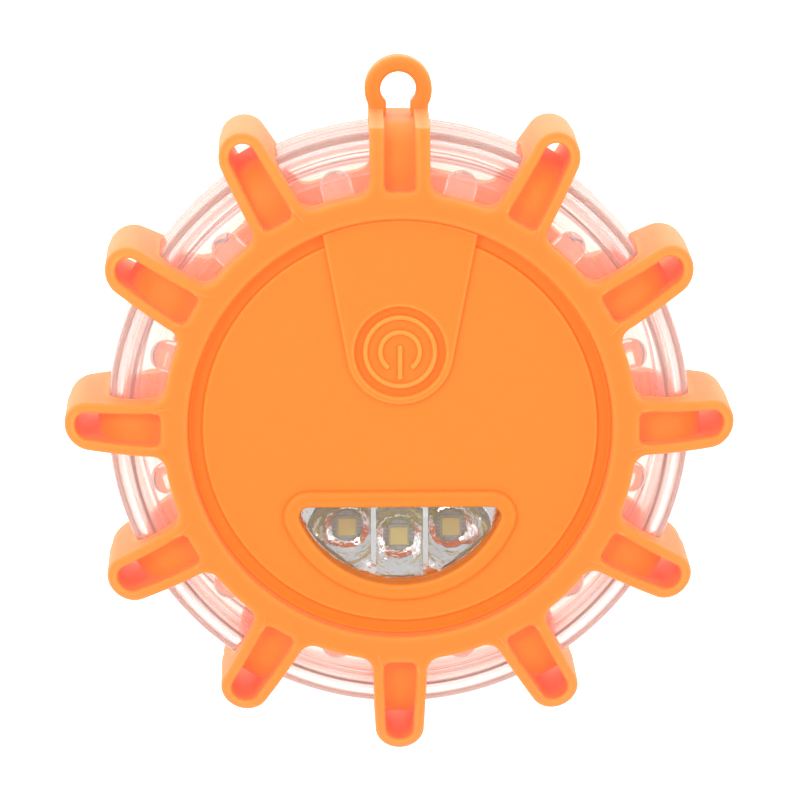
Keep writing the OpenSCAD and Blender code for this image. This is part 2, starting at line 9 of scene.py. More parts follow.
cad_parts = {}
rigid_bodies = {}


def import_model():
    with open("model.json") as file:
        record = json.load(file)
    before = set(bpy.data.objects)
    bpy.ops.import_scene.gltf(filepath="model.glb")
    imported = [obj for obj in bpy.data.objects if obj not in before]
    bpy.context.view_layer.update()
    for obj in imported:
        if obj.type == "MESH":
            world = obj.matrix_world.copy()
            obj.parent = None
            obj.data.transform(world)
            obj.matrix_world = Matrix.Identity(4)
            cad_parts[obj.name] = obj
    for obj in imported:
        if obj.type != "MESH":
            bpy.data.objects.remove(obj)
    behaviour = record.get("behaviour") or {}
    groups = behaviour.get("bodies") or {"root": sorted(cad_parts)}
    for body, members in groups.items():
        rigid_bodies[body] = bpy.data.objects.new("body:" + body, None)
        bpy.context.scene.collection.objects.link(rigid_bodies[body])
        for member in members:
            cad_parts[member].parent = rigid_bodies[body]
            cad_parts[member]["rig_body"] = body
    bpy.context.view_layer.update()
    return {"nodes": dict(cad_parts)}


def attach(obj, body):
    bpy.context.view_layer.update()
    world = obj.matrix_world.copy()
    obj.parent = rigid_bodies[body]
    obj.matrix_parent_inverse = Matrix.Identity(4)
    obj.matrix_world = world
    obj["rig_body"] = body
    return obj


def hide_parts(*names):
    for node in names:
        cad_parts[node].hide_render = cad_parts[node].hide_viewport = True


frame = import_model()
mm = 0.001

# ---- Rubber bumper ----
# The orange sleeve is one moulding in soft thermoplastic rubber: a front and a rear ring joined
# by hollow arms that wrap the clear body's rim. It is stretched over the closed body. Each arm
# is a thin wall folded round a slot, with a strap inside it that hugs the clear shoulder.

bumper_h = 33.0
ring_in, ring_out = 32.8, 36.7
wall = 1.65
arm_half, tip_y, tip_out = 4.15, 48.2, 3.8
fillet = 2.4
slot_foot, slot_corner = 37.0, 1.0
mould_line, mould_step = 12.2, 0.25
loop_half, loop_slot_half, loop_arm_end = 4.65, 2.4, 47.98
loop_y, loop_out, loop_hole, loop_neck, loop_t = 50.85, 5.24, 2.77, 1.88, 4.0


def let_go():
    """Leaves edit mode and deselects everything, so the next operator acts on its own piece."""
    if bpy.context.object and bpy.context.object.mode == "EDIT":
        bpy.ops.object.mode_set(mode="OBJECT")
    bpy.ops.object.select_all(action="DESELECT")


def hold(piece):
    """Makes the piece the only one selected."""
    let_go()
    piece.select_set(True)
    bpy.context.view_layer.objects.active = piece
    return piece


def edge_piece(name, a, b):
    """A piece of one edge from a to b (millimetres), open in edit mode and ready to be swept."""
    let_go()
    bpy.ops.mesh.primitive_plane_add(size=mm)
    piece = bpy.context.object
    piece.name = piece.data.name = name
    bpy.ops.object.mode_set(mode="EDIT")
    bm = bmesh.from_edit_mesh(piece.data)
    bm.verts.ensure_lookup_table()
    for v in bm.verts:
        v.select_set(v.index > 1)
    bm.select_flush_mode()
    bmesh.update_edit_mesh(piece.data)
    bpy.ops.mesh.delete(type="VERT")
    bm = bmesh.from_edit_mesh(piece.data)
    for v, p in zip(bm.verts, (a, b)):
        v.co = Vector(p) * mm
    bmesh.update_edit_mesh(piece.data)
    bpy.ops.mesh.select_all(action="SELECT")
    return piece


def turn(about, degrees, steps, axis=(0, 0, 1)):
    """Sweeps what is selected round a point; positive is counter-clockwise seen from +axis."""
    bpy.ops.mesh.spin(steps=steps, angle=math.radians(-degrees), center=Vector(about) * mm, axis=axis)


def pull_to(piece, points):
    """Extrudes the selected edge and puts its two ends at the given points, nearest first."""
    draw_out()
    bm = bmesh.from_edit_mesh(piece.data)
    ends = [v for v in bm.verts if v.select]
    ends.sort(key=lambda v: (v.co - Vector(points[0]) * mm).length)
    for v, p in zip(ends, points):
        v.co = Vector(p) * mm
    bmesh.update_edit_mesh(piece.data)


def draw_out(x=0, y=0, z=0):
    """Extrudes what is selected by a distance in millimetres."""
    bpy.ops.mesh.extrude_region_move(TRANSFORM_OT_translate={"value": (x * mm, y * mm, z * mm)})


def close_up():
    """Turns every face of the open piece outward and leaves edit mode."""
    bpy.ops.mesh.select_all(action="SELECT")
    bpy.ops.mesh.normals_make_consistent(inside=False)
    bpy.ops.object.mode_set(mode="OBJECT")


def mirrored(piece):
    """Adds the other half of a piece drawn on one side of the YZ plane."""
    hold(piece)
    other = piece.modifiers.new("other half", "MIRROR")
    other.merge_threshold = 2e-6
    bpy.ops.object.modifier_apply(modifier=other.name)
    return piece


def repeated(piece, count):
    """The piece with its copies at every 30 degrees up to the count, in order."""
    copies = [piece]
    for k in range(1, count):
        hold(piece)
        bpy.ops.object.duplicate()
        bpy.ops.transform.rotate(value=math.radians(30 * k), orient_axis="Z", center_override=(0, 0, 0))
        bpy.ops.object.transform_apply()
        copies.append(bpy.context.object)
    return copies


def joined(pieces):
    """Joins the pieces into the first one."""
    let_go()
    for piece in pieces:
        piece.select_set(True)
    bpy.context.view_layer.objects.active = pieces[0]
    bpy.ops.object.join()
    return pieces[0]


def pick(piece, test, kind="VERT"):
    """In edit mode, selects only the vertices, edges or faces that pass the test."""
    if piece.mode != "EDIT":
        hold(piece)
        bpy.ops.object.mode_set(mode="EDIT")
    bpy.ops.mesh.select_mode(type=kind)
    bpy.ops.mesh.select_all(action="DESELECT")
    bm = bmesh.from_edit_mesh(piece.data)
    for item in {"VERT": bm.verts, "EDGE": bm.edges, "FACE": bm.faces}[kind]:
        if test(item):
            item.select_set(True)
    bm.select_flush_mode()
    bmesh.update_edit_mesh(piece.data)
    return bm


def arm_sheet(name, half, slot_half, tipped):
    """Plan of a sixth of the ring's half with one arm, as a flat sheet at z = 0."""
    xc = half + fillet
    yc = math.sqrt((ring_out + fillet) ** 2 - xc * xc)
    foot = math.degrees(math.asin(xc / (ring_out + fillet)))
    inner = half - slot_half
    if tipped:
        piece = edge_piece(name, (0, tip_y + tip_out - inner, 0), (0, tip_y + tip_out, 0))
        turn((0, tip_y, 0), -90, 14)
        far_y, far = tip_y, (tip_out - inner, tip_out)
    else:
        piece = edge_piece(name, (slot_half, loop_arm_end, 0), (half, loop_arm_end, 0))
        far_y, far = loop_arm_end, (slot_half, half)
    root_y = yc + 0.5
    for k in range(1, 9):
        t = k / 8
        y = far_y + (root_y - far_y) * t
        pull_to(piece, [(a + (b - a) * t, y, 0) for a, b in zip(far, (slot_half, half))])
    pull_to(piece, [(half - wall, yc, 0), (half, yc, 0)])
    turn((xc, yc, 0), 90 - foot, 9)
    turn((0, 0, 0), foot - 15, 5)
    # the slot's inner end, from the wall down and round its corner to the middle
    pick(piece, lambda v: (v.co - Vector((slot_half, root_y, 0)) * mm).length < 1e-6)
    for y in (yc, slot_foot + slot_corner):
        draw_out(y=y - root_y)
        root_y = y
    turn((slot_half - slot_corner, slot_foot + slot_corner, 0), -90, 5)
    draw_out(x=slot_corner - slot_half)
    # the ring's inner band, with the same steps as the outer one
    band = edge_piece("band", (0, ring_in, 0), (0, ring_out - wall, 0))
    turn((0, 0, 0), -foot, 8)
    turn((0, 0, 0), foot - 15, 5)
    joined([piece, band])
    bpy.ops.object.mode_set(mode="EDIT")
    bpy.ops.mesh.select_all(action="SELECT")
    bpy.ops.mesh.remove_doubles(threshold=2e-6)
    # the flat web between ring, fillets and slot is filled in one piece
    pick(piece, lambda v: abs(v.co.x) < 1e-7 and ring_out - wall - 0.01 < v.co.y / mm < slot_foot + 0.01)
    bpy.ops.mesh.edge_face_add()

    def on_web(e):
        if len(e.link_faces) > 1:
            return False
        for v in e.verts:
            x, y = v.co.x / mm, v.co.y / mm
            near_arc = (abs(math.hypot(x, y) - ring_out + wall) < 0.01
                        and math.degrees(math.atan2(x, y)) < foot + 0.01)
            near_fillet = abs(math.hypot(x - xc, y - yc) - fillet - wall) < 0.01 and x < xc
            near_slot = x < slot_half + 0.01 and slot_foot - 0.01 < y < yc + 0.51
            if not (near_arc or near_fillet or near_slot):
                return False
        return True

    pick(piece, on_web, "EDGE")
    bpy.ops.mesh.edge_face_add()
    return mirrored(piece)


def slope(y):
    """How far the arms' front edge has dropped at this distance from the axis."""
    return 5.9 * (max(0.0, y - 38.0) / 14.0) ** 1.8


bumper = arm_sheet("rubber_bumper_look", loop_half, loop_slot_half, False)
plain_arm = arm_sheet("plain_arm", arm_half, arm_half - wall, True)
joined([bumper] + repeated(plain_arm, 12)[1:])
hold(plain_arm)
bpy.ops.object.delete()
hold(bumper)
bpy.ops.object.mode_set(mode="EDIT")
bpy.ops.mesh.select_all(action="SELECT")
bpy.ops.mesh.remove_doubles(threshold=2e-6)
close_up()
for v in bumper.data.vertices:
    v.co.z = (bumper_h - slope(v.co.xy.length / mm)) * mm


def set_in(v):
    """Which way and whether an outline vertex steps in behind the mould line."""
    x, y = v.co.x / mm, v.co.y / mm
    k = round(math.degrees(math.atan2(x, y)) / 30)
    a = math.radians(30 * k)
    lx, ly = x * math.cos(a) - y * math.sin(a), x * math.sin(a) + y * math.cos(a)
    half = arm_half if k else loop_half
    xc = half + fillet
    yc = math.sqrt((ring_out + fillet) ** 2 - xc * xc)
    side = math.copysign(1, lx)
    taper = (ly - yc - 0.5) / (tip_y - yc - 0.5) if k else 0
    half_here = half + (tip_out - half) * min(1, max(0, taper))
    if k and ly > tip_y - 0.01 and abs(math.hypot(lx, ly - tip_y) - tip_out) < 0.02:
        nx, ny = lx, ly - tip_y
    elif ly > yc - 0.01 and abs(abs(lx) - half_here) < 0.02:
        nx, ny = side, 0
    elif abs(math.hypot(abs(lx) - xc, ly - yc) - fillet) < 0.02:
        nx, ny = side * (xc - abs(lx)), yc - ly
    elif abs(math.hypot(lx, ly) - ring_out) < 0.02:
        nx, ny = lx, ly
    else:
        return Vector((0, 0, 0))
    n = Vector((nx * math.cos(a) + ny * math.sin(a), ny * math.cos(a) - nx * math.sin(a), 0))
    return n.normalized() * -mould_step * mm


# the sheet is drawn down in steps to the rear face, so that the wall has rows where it needs them
bpy.ops.object.mode_set(mode="EDIT")
bpy.ops.mesh.select_all(action="SELECT")
middle = bumper_h / 2
for level in (middle + loop_t / 2, middle - loop_t / 2, mould_line, mould_line - mould_step, None):
    draw_out()
    bm = bmesh.from_edit_mesh(bumper.data)
    for v in [v for v in bm.verts if v.select]:
        if level == mould_line - mould_step:
            v.co += set_in(v)
        v.co.z = (slope(v.co.xy.length / mm) if level is None else level) * mm
    bmesh.update_edit_mesh(bumper.data)
bm = bmesh.from_edit_mesh(bumper.data)
for v in bm.verts:
    at_rim = abs(v.co.z / mm - middle) > 11
    if at_rim and abs(v.co.x) < 5 * mm and abs(v.co.y / mm - loop_arm_end) < 0.05:
        v.co.y -= 1.3 * mm
bmesh.update_edit_mesh(bumper.data)
close_up()


def on_rim(e):
    """An edge between a front or rear face and an upright wall."""
    if len(e.link_faces) != 2:
        return False
    low, high = sorted(abs(f.normal.z) for f in e.link_faces)
    return high > 0.6 and low < 0.35


pick(bumper, lambda e: on_rim(e) and abs(e.verts[0].co.z / mm - middle) > 8, "EDGE")
bpy.ops.mesh.bevel(offset=0.55 * mm, segments=4, affect="EDGES", clamp_overlap=False)
pick(bumper, lambda e: len(e.link_faces) == 2 and abs(e.verts[0].co.z - e.verts[1].co.z) > 2 * mm
     and e.calc_face_angle(0) > 1.2 and e.verts[0].co.y > 44 * mm and abs(e.verts[0].co.x) < 5 * mm,
     "EDGE")
bpy.ops.mesh.bevel(offset=0.5 * mm, segments=3, affect="EDGES", clamp_overlap=True)
bpy.ops.object.mode_set(mode="OBJECT")
for v in bumper.data.vertices:
    v.co.z = min(max(v.co.z, 0), bumper_h * mm)


def outline(name, points):
    """A piece of one open line through the points (radius and height, in millimetres)."""
    piece = edge_piece(name, (points[0][0], 0, points[0][1]), (points[1][0], 0, points[1][1]))
    pick(piece, lambda v: (v.co - Vector((points[1][0], 0, points[1][1])) * mm).length < 1e-7)
    for p, q in zip(points[1:], points[2:]):
        draw_out(x=q[0] - p[0], z=q[1] - p[1])
    bpy.ops.mesh.select_all(action="SELECT")
    return piece


def bend(centre, r, start, end, steps):
    """Points on an arc in the outline's plane, angles from the outward direction."""
    return [(centre[0] + r * math.cos(math.radians(start + (end - start) * k / steps)),
             centre[1] + r * math.sin(math.radians(start + (end - start) * k / steps)))
            for k in range(steps + 1)]


def turned_piece(name, points, steps, closed=False):
    """A piece turned on the axis from its outline, like work on a lathe."""
    piece = outline(name, points)
    if closed:
        pick(piece, lambda v: len(v.link_edges) == 1)
        bpy.ops.mesh.edge_face_add()
        bpy.ops.mesh.select_all(action="SELECT")
    turn((0, 0, 0), 360, steps)
    bpy.ops.mesh.select_all(action="SELECT")
    bpy.ops.mesh.remove_doubles(threshold=1e-6)
    close_up()
    return piece


def cut_with(piece, tool, operation="DIFFERENCE", keep_tool=False):
    """Cuts the piece with the tool, or joins them, as one closed solid."""
    hold(piece)
    cut = piece.modifiers.new("cut", "BOOLEAN")
    cut.operation, cut.solver, cut.object = operation, "EXACT", tool
    bpy.ops.object.modifier_apply(modifier=cut.name)
    if not keep_tool:
        hold(tool)
        bpy.ops.object.delete()


# straps inside the arms
shoulder = (39.5, 22.7)
shoulder_low = (39.5, bumper_h - 22.7)
strap_line = ([(35.9, 30.0)] + bend(shoulder, 7.3, 100, 0, 15)
              + bend(shoulder_low, 7.3, 0, -100, 15) + [(35.9, 3.0), (35.9, 5.6)]
              + bend(shoulder_low, 5.2, -90, 0, 8) + bend(shoulder, 5.2, 0, 90, 8) + [(35.9, 27.4)])
strap = outline("strap", strap_line)
pick(strap, lambda v: len(v.link_edges) == 1)
bpy.ops.mesh.edge_face_add()
bpy.ops.mesh.select_all(action="SELECT")
bpy.ops.mesh.edge_face_add()
bpy.ops.mesh.select_all(action="SELECT")
bpy.ops.transform.rotate(value=math.radians(-4.2), orient_axis="Z", center_override=(0, 0, 0))
turn((0, 0, 0), -8.4, 5)
close_up()
joined(repeated(strap, 12))
cut_with(bumper, strap, "UNION")

# hanging loop: a flat eye at half depth, its neck open to the arm's slot
loop = edge_piece("loop", (0, loop_y + loop_hole, 0), (0, loop_y + loop_out, 0))
flare = math.degrees(math.acos(loop_half / loop_out))
turn((0, loop_y, 0), -90 - flare, 24)
neck_y = loop_y - math.sqrt(loop_hole ** 2 - loop_neck ** 2)
for y in (neck_y, 47.2, 45.9):
    pull_to(loop, [(loop_neck + (0.25 if y < 47 else 0), y, 0), (loop_half, y - 0.6, 0)])
mirrored(loop)
bpy.ops.object.mode_set(mode="EDIT")
bpy.ops.mesh.select_all(action="SELECT")
bpy.ops.transform.translate(value=(0, 0, (middle - loop_t / 2) * mm))
draw_out(z=loop_t)
close_up()
pick(loop, on_rim, "EDGE")
bpy.ops.mesh.bevel(offset=0.7 * mm, segments=4, affect="EDGES", clamp_overlap=False)
bpy.ops.object.mode_set(mode="OBJECT")
cut_with(bumper, loop, "UNION")

# the clear body it is stretched over
body_line = ([(0, 28), (39.45, 28), (39.45, 28.5)] + bend(shoulder, 5.85, 90, 0, 24)
             + bend(shoulder_low, 5.85, 0, -90, 24) + [(39.45, 4.5), (39.45, 5), (0, 5)])
cut_with(bumper, turned_piece("clear_body", body_line, 180))
hold(bumper)
bpy.ops.object.shade_smooth_by_angle(angle=math.radians(38))


def plug(tree, node, *values, **sockets):
    """Sets a node's sockets, in order or by name, each to a constant or a link."""
    named = [(name.replace("_", " "), value) for name, value in sockets.items()]
    for place, value in list(enumerate(values)) + named:
        if isinstance(value, bpy.types.NodeSocket):
            tree.links.new(value, node.inputs[place])
        else:
            node.inputs[place].default_value = value
    return node


def add(tree, kind, *values, how=None, **sockets):
    """A new shader node, or a node group in its place, with its sockets set."""
    if isinstance(kind, str):
        node = tree.nodes.new("ShaderNode" + kind)
    else:
        node = tree.nodes.new("ShaderNodeGroup")
        node.node_tree = kind
    if kind == "Mix":
        node.data_type, node.blend_type = "RGBA", how or "MIX"
    elif how:
        node.operation = how
    return plug(tree, node, *values, **sockets)


def new_group(name, inputs, outputs):
    """An empty node group; each socket's kind follows from its first value."""
    group = bpy.data.node_groups.new(name, "ShaderNodeTree")
    for side, sockets in (("INPUT", inputs), ("OUTPUT", outputs)):
        for label, value in sockets.items():
            size = len(value) if isinstance(value, tuple) else 1
            kind = {1: "NodeSocketFloat", 3: "NodeSocketVector", 4: "NodeSocketColor"}[size]
            socket = group.interface.new_socket(label, in_out=side, socket_type=kind)
            socket.default_value = value
    given, out = group.nodes.new("NodeGroupInput"), group.nodes.new("NodeGroupOutput")
    return group, given.outputs, out.inputs


def skin_group():
    """Moulded surface: fine grain, a slow change of tone, a painted highlight on thin edges and a
    painted glow in deep hollows.
    """
    tree, given, out = new_group(
        "skin with painted light",
        {"Color": (1, 1, 1, 1), "Grain Size": 2600, "Mottle": 0.05, "Roughness": 0.5,
         "Edge Color": (1, 1, 1, 1), "Edge Amount": 0, "Edge Reach": 0.8 * mm,
         "Hollow Color": (0, 0, 0, 1), "Hollow Reach": 3 * mm},
        {"Color": (0, 0, 0, 1), "Roughness": 0, "Height": 0, "Glow": (0, 0, 0, 1)})
    place = add(tree, "TexCoord").outputs["Object"]
    grain = add(tree, "TexNoise", Vector=place, Scale=given["Grain Size"], Detail=3).outputs["Fac"]
    drift = add(tree, "TexNoise", Vector=place, Scale=55, Detail=2).outputs["Fac"]
    amount = add(tree, "Math", drift, given["Mottle"], how="MULTIPLY").outputs[0]
    shade = add(tree, "Mix", how="MULTIPLY", Factor=amount, A=given["Color"], B=(0.62, 0.5, 0.42, 1))
    rough = add(tree, "Math", grain, 0.12, given["Roughness"], how="MULTIPLY_ADD")
    # painted highlight: ambient occlusion inside the piece finds thin convex edges, which are mixed
    # towards the lighter edge colour as if lit more strongly
    thin = add(tree, "AmbientOcclusion", Distance=given["Edge Reach"])
    thin.inside, thin.only_local, thin.samples = True, True, 6
    sharp = add(tree, "MapRange", Value=thin.outputs["AO"], From_Min=0.97, From_Max=0.62)
    much = add(tree, "Math", sharp.outputs["Result"], given["Edge Amount"], how="MULTIPLY")
    painted_edge_light = add(tree, "Mix", Factor=much.outputs[0], A=shade.outputs["Result"], B=given["Edge Color"])
    # painted glow: where ambient occlusion finds a deep hollow, the surface gives out a little light in
    # the hollow colour, standing in for light passed from wall to wall
    hollow = add(tree, "AmbientOcclusion", Distance=given["Hollow Reach"])
    hollow.samples = 6
    painted_glow_mask = add(tree, "MapRange", Value=hollow.outputs["AO"], From_Min=0.7, From_Max=0.1)
    glow = add(tree, "Mix", Factor=painted_glow_mask.outputs["Result"], A=(0, 0, 0, 1), B=given["Hollow Color"])
    tree.links.new(painted_edge_light.outputs["Result"], out["Color"])
    tree.links.new(rough.outputs[0], out["Roughness"])
    tree.links.new(grain, out["Height"])
    tree.links.new(glow.outputs["Result"], out["Glow"])
    return tree


skin_and_painted_light = skin_group()


def moulded(name, color, roughness=0.5, grain=2600, mottle=0.05, depth=0.02, edge=None,
            edge_reach=0.8, hollow=None, hollow_reach=3, **sockets):
    """A moulded plastic or rubber with the shared skin: edge is its painted edge highlight colour and
    hollow its painted hollow glow colour; other sockets are set as given.
    """
    mat = bpy.data.materials.new(name)
    mat.use_nodes = True
    tree = mat.node_tree
    shader = tree.nodes["Principled BSDF"]
    skin = add(tree, skin_and_painted_light, Color=(*color, 1), Grain_Size=grain, Mottle=mottle,
               Roughness=roughness, Edge_Color=(*(edge or color), 1),
               Edge_Amount=0.8 if edge else 0, Edge_Reach=edge_reach * mm)
    bump = add(tree, "Bump", Strength=0.5, Distance=depth * mm, Height=skin.outputs["Height"])
    plug(tree, shader, Base_Color=skin.outputs["Color"], Roughness=skin.outputs["Roughness"],
         Normal=bump.outputs["Normal"])
    # the painted hollow glow goes in as emission
    if hollow:
        plug(tree, skin, Hollow_Color=(*hollow, 1), Hollow_Reach=hollow_reach * mm)
        plug(tree, shader, Emission_Strength=1, Emission_Color=skin.outputs["Glow"])
    plug(tree, shader, **sockets)
    return mat


def dress(piece, mat):
    piece.data.materials.clear()
    piece.data.materials.append(mat)
    return piece


# painted light: the lighter edge colour is a painted highlight, and the dark red hollow colour a painted
# glow in the arms' slots and holes
orange_rubber = moulded("orange rubber", (1.0, 0.306, 0.031), 0.5, 2200, 0.05, 0.03, (1, 0.42, 0.07),
                        1.1, (0.72, 0.085, 0.06), 6, Subsurface_Weight=0.2,
                        Subsurface_Scale=0.0012, Sheen_Weight=0.15, Sheen_Roughness=0.5)
tree = orange_rubber.node_tree
shader = plug(tree, tree.nodes["Principled BSDF"], Subsurface_Radius=(1, 0.3, 0.08))
# thin rubber lets a little red light through, which warms the insides of the arms
seep = add(tree, "BsdfTranslucent", Color=(1, 0.16, 0.05, 1))
blend = add(tree, "MixShader", 0.12, shader.outputs["BSDF"], seep.outputs["BSDF"])
plug(tree, tree.nodes["Material Output"], Surface=blend.outputs["Shader"])
dress(bumper, orange_rubber)
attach(bumper, "flare")
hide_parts("rubber_bumper")

# ---- Face cover ----
# One orange moulding pressed into the front ring. A tongue-shaped pad carries the power button,
# a soft frame stands up round the work-light window, and a shallow channel runs round the edge.

button_y = 12.0
cover_line = ([(0, 28), (32.78, 28), (32.78, 30.1)] + bend((32.48, 30.1), 0.3, 0, 90, 3)
              + bend((30.9, 30.7), 0.3, -90, -180, 3) + bend((30.25, 30.85), 0.35, 0, 90, 4)
              + [(0, 31.2)])
cover = turned_piece("face_cover_look", cover_line, 192)


def drawn_up(piece, low, high):
    """Mirrors half an outline, fills it and draws it up into a solid between two heights."""
    mirrored(piece)
    bpy.ops.object.mode_set(mode="EDIT")
    bpy.ops.mesh.select_all(action="SELECT")
    bpy.ops.mesh.edge_face_add()
    bpy.ops.mesh.select_all(action="SELECT")
    bpy.ops.transform.translate(value=(0, 0, low * mm))
    draw_out(z=high - low)
    close_up()
    return piece


def round_rim(piece, height, width, segments, test=lambda e: True):
    """Rounds the sharp edges that lie at one height."""
    pick(piece, lambda e: len(e.link_faces) == 2 and e.calc_face_angle(0) > 1.2 and test(e)
         and all(abs(v.co.z - height * mm) < 2e-6 for v in e.verts), "EDGE")
    bpy.ops.mesh.bevel(offset=width * mm, segments=segments, affect="EDGES", clamp_overlap=False)
    bpy.ops.object.mode_set(mode="OBJECT")


window_mid, window_r = -7.8, 16.9
corner_y = -14.0
corner_x = math.sqrt((window_r - 1.5) ** 2 - (corner_y - window_mid) ** 2)
corner_a = math.degrees(math.atan2(corner_y - window_mid, corner_x))


def window_outline(name, grow):
    """Half the window's outline, pushed out by grow: flat top, rounded corner, wide lower arc."""
    piece = edge_piece(name, (0, grow - 12.5, 0), (corner_x, grow - 12.5, 0))
    pick(piece, lambda v: v.co.x > 1 * mm)
    turn((corner_x, corner_y, 0), corner_a - 90, 10)
    turn((0, window_mid, 0), -90 - corner_a, 40)
    return piece


# tongue pad: round end below the button, sides opening towards the ring
pad_r, pad_side = 8.3, (11.9, 30.0)
reach = math.hypot(pad_side[0], pad_side[1] - button_y)
pad_a = math.degrees(math.atan2(pad_side[1] - button_y, pad_side[0]) - math.acos(pad_r / reach))
pad = edge_piece("pad", (0, button_y - pad_r, 0), (0.1, button_y - pad_r, 0))
pick(pad, lambda v: v.co.x > 0.05 * mm)
bpy.ops.mesh.delete(type="VERT")
bpy.ops.mesh.select_all(action="SELECT")
turn((0, button_y, 0), 90 + pad_a, 28)
foot = (pad_r * math.cos(math.radians(pad_a)), button_y + pad_r * math.sin(math.radians(pad_a)))
draw_out(pad_side[0] - foot[0], pad_side[1] - foot[1])
edge_a = math.degrees(math.atan2(pad_side[1], pad_side[0]))
further = 32.7 / math.hypot(*pad_side) - 1
draw_out(pad_side[0] * further, pad_side[1] * further)
turn((0, 0, 0), 90 - edge_a, 12)
drawn_up(pad, 29.5, 31.9)
round_rim(pad, 31.9, 0.32, 4)
cut_with(cover, pad, "UNION")
bezel = drawn_up(window_outline("bezel", 2.6), 30, 32.1)
round_rim(bezel, 32.1, 0.85, 6)
cut_with(cover, bezel, "UNION")
cut_with(cover, drawn_up(window_outline("window", 0), 27, 34))
round_rim(cover, 32.1, 0.6, 5)


def moved(piece, x=0, y=0, z=0):
    """Puts the piece in its place and leaves the place in its mesh."""
    hold(piece)
    piece.location = (x * mm, y * mm, z * mm)
    bpy.ops.object.transform_apply()
    return piece


bore = [(0, 27), (7.95, 27), (7.95, 30.95), (7.05, 30.95), (7.05, 31.72), (7.35, 32.02), (7.35, 33),
        (0, 33)]
cut_with(cover, moved(turned_piece("bore", bore, 96), y=button_y))
hold(cover)
bpy.ops.object.shade_smooth_by_angle(angle=math.radians(35))
# painted light: the lighter edge colour is a painted highlight, and the dim hollow colour a painted glow
# that lightens the shade in the channel round the edge
orange_cover = moulded("orange cover", (0.98, 0.258, 0.015), 0.45, 1800, 0.05, 0.02, (1, 0.42, 0.07),
                       0.7, (0.14, 0.05, 0.008), 2.5, Subsurface_Weight=0.15,
                       Subsurface_Scale=0.001)
dress(cover, orange_cover)
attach(cover, "flare")
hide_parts("face_cover")

# ---- Power button ----
# A round rubber key held under the cover by its flange. Its raised rim and the power mark, a
# broken ring with a bar through the gap, are moulded in, and its stem reaches the switch below.

button_line = ([(0, 27.15), (2, 27.15), (2, 29.9), (7.6, 29.9), (7.6, 30.9), (5.75, 30.9)]
               + bend((5.5, 31.65), 0.25, 0, 90, 4) + bend((5.25, 31.65), 0.25, 90, 180, 4)
               + bend((4.75, 31.45), 0.25, 0, -90, 4) + [(0, 31.2)])
button = moved(turned_piece("power_button_look", button_line, 96), y=button_y)
mark_r, mark_half, mark_low, mark_top = 3.05, 0.36, 31.0, 31.75
gap_a = math.radians(-56)
ring = edge_piece("mark_ring", *[(r * math.cos(gap_a), r * math.sin(gap_a), mark_low)
                                 for r in (mark_r - mark_half, mark_r + mark_half)])
turn((0, 0, 0), 292, 72)
bar = edge_piece("mark_bar", (-mark_half, 1.0, mark_low), (mark_half, 1.0, mark_low))
pull_to(bar, [(-mark_half, -4.35, mark_low), (mark_half, -4.35, mark_low)])
for piece in (ring, bar):
    pick(piece, lambda f: True, "FACE")
    draw_out(z=mark_top - mark_low)
    close_up()
    pick(piece, lambda e: abs(e.verts[0].co.z - e.verts[1].co.z) > 0.1 * mm
         and e.calc_face_angle(0) > 1.2, "EDGE")
    bpy.ops.mesh.bevel(offset=0.3 * mm, segments=5, affect="EDGES", clamp_overlap=False)
    round_rim(piece, mark_top, 0.14, 3)
    moved(piece, y=button_y)
    cut_with(button, piece, "UNION")
hold(button)
bpy.ops.object.shade_smooth_by_angle(angle=math.radians(35))
# painted light: a painted highlight on its edges and a dim painted glow in its hollows
dress(button, moulded("orange button", (0.97, 0.25, 0.015), 0.45, 2200, 0.05, 0.02, (1, 0.42, 0.07),
                      0.8, (0.14, 0.05, 0.008), 1.5, Subsurface_Weight=0.2,
                      Subsurface_Scale=0.001))
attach(button, "button")
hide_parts("power_button")

# ---- Clear body ----
# Two clear polycarbonate halves that meet at half height in a lip and groove, glued. The front
# half has three bosses for the board, the rear one bosses for the bay and the door's screws and
# an opening for the battery bay. The side lights shine out through the plain rim.

land = 39.5


def haze_group():
    """Slight haze and waviness of clear moulded plastic, shared by the body and the LEDs."""
    tree, given, out = new_group("clear haze", {"Color": (1, 1, 1, 1), "Roughness": 0},
                                 {"Color": (0, 0, 0, 1), "Roughness": 0, "Height": 0})
    place = add(tree, "TexCoord").outputs["Object"]
    haze = add(tree, "TexNoise", Vector=place, Scale=90, Detail=4).outputs["Fac"]
    rough = add(tree, "Math", haze, 0.07, given["Roughness"], how="MULTIPLY_ADD")
    tone = add(tree, "Mix", how="MULTIPLY", Factor=haze, A=given["Color"], B=(0.97, 0.97, 0.97, 1))
    tree.links.new(tone.outputs["Result"], out["Color"])
    tree.links.new(rough.outputs[0], out["Roughness"])
    tree.links.new(haze, out["Height"])
    return tree


clear_haze = haze_group()


